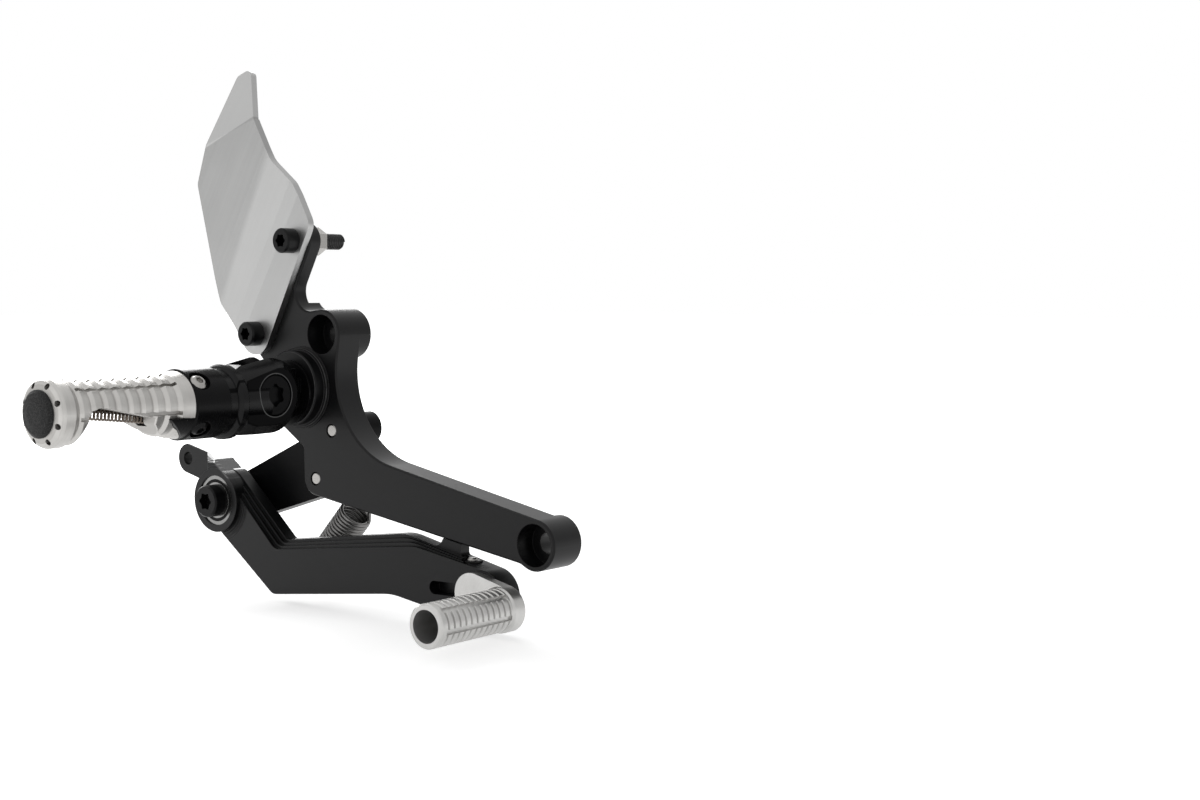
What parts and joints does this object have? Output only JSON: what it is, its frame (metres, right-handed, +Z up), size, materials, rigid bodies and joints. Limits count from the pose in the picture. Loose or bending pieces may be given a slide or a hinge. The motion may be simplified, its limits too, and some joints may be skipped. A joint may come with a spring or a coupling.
{
  "type": "motorcycle rear set footrest",
  "caption": "Brake-side footrest assembly: bolt-on plate bracket with a folding ribbed footpeg on an eccentric adjuster, a bent heel guard and a sprung brake pedal with a toe peg.",
  "frame": {"origin": "centre of the upper frame bolt's hole at the bracket's inboard face", "axes": "+X forwards along the motorbike, +Y inboard towards the motorbike's frame, +Z up; the rider's foot is on the -Y side"},
  "size_m": [0.2095, 0.1502, 0.2142],
  "materials": {
    "bracket_black": "black anodised, fine brushed satin",
    "guard_silver": "plain sheet, brushed along the bends",
    "grip_silver": "plain turned aluminium, satin",
    "toe_silver": "plain machined aluminium, satin",
    "peg_black": "black anodised, turned, semi-gloss",
    "pedal_black": "black anodised, machined, semi-gloss",
    "screw_black": "black oxide, satin",
    "screw_zinc": "bright zinc plated",
    "bearing_steel": "ground steel, bright",
    "seal_rubber": "matt moulded",
    "spring_steel": "drawn wire, bright",
    "bush_bronze": "turned bronze, dull",
    "cap_plastic": "moulded, fine-grained and dull"
  },
  "bodies": {
    "bracket": {"main_bracket": "bracket_black", "heel_guard": "guard_silver", "guard_screw_upper": "screw_black", "guard_screw_lower": "screw_black", "guard_nut": "screw_zinc", "adjuster_disc": "bracket_black", "peg_joint": "peg_black", "tongue_bush": "bush_bronze", "spring_anchor_pin": "screw_zinc", "joint_washer": "screw_zinc", "joint_bolt": "screw_black", "pedal_carrier": "bracket_black", "carrier_screw_upper": "screw_zinc", "carrier_screw_lower": "screw_zinc", "pedal_pivot_bolt": "screw_black", "pivot_sleeve": "screw_zinc", "rear_bearing_inner_ring": "bearing_steel", "front_bearing_inner_ring": "bearing_steel", "spring_top_post": "screw_zinc", "return_spring": "spring_steel"},
    "peg": {"peg_fork": "peg_black", "fold_pivot_bolt": "screw_black", "fold_pivot_nut": "screw_black", "peg_sleeve": "peg_black", "grip_screw_front_top": "screw_zinc", "grip_screw_rear_top": "screw_zinc", "grip_screw_front_low": "screw_black", "grip_screw_rear_low": "screw_black", "peg_grip": "grip_silver", "peg_end_cap": "cap_plastic", "peg_spring": "spring_steel"},
    "pedal": {"brake_pedal": "pedal_black", "rear_bearing_outer_ring": "bearing_steel", "rear_bearing_seal": "seal_rubber", "front_bearing_outer_ring": "bearing_steel", "front_bearing_seal": "seal_rubber", "stop_screw": "screw_zinc", "stop_lock_nut": "screw_black", "toe_peg": "toe_silver", "toe_peg_screw": "screw_black", "spring_foot_post": "screw_zinc"}
  },
  "joints": [
    {"name": "peg_fold", "type": "hinge", "parent": "bracket", "child": "peg", "pos_m": [-0.0115, -0.043, -0.0232], "axis": [-1, 0, 0], "range_deg": [0, 85], "stiffness_Nm_per_rad": 0.2, "springref_deg": -28.65, "deforming": ["peg_spring"]},
    {"name": "pedal_pivot", "type": "hinge", "parent": "bracket", "child": "pedal", "pos_m": [-0.0588, -0.0184, -0.0708], "axis": [0, 1, 0], "range_deg": [0, 12], "stiffness_Nm_per_rad": 4.5, "springref_deg": -5.73, "deforming": ["return_spring"]}
  ]
}
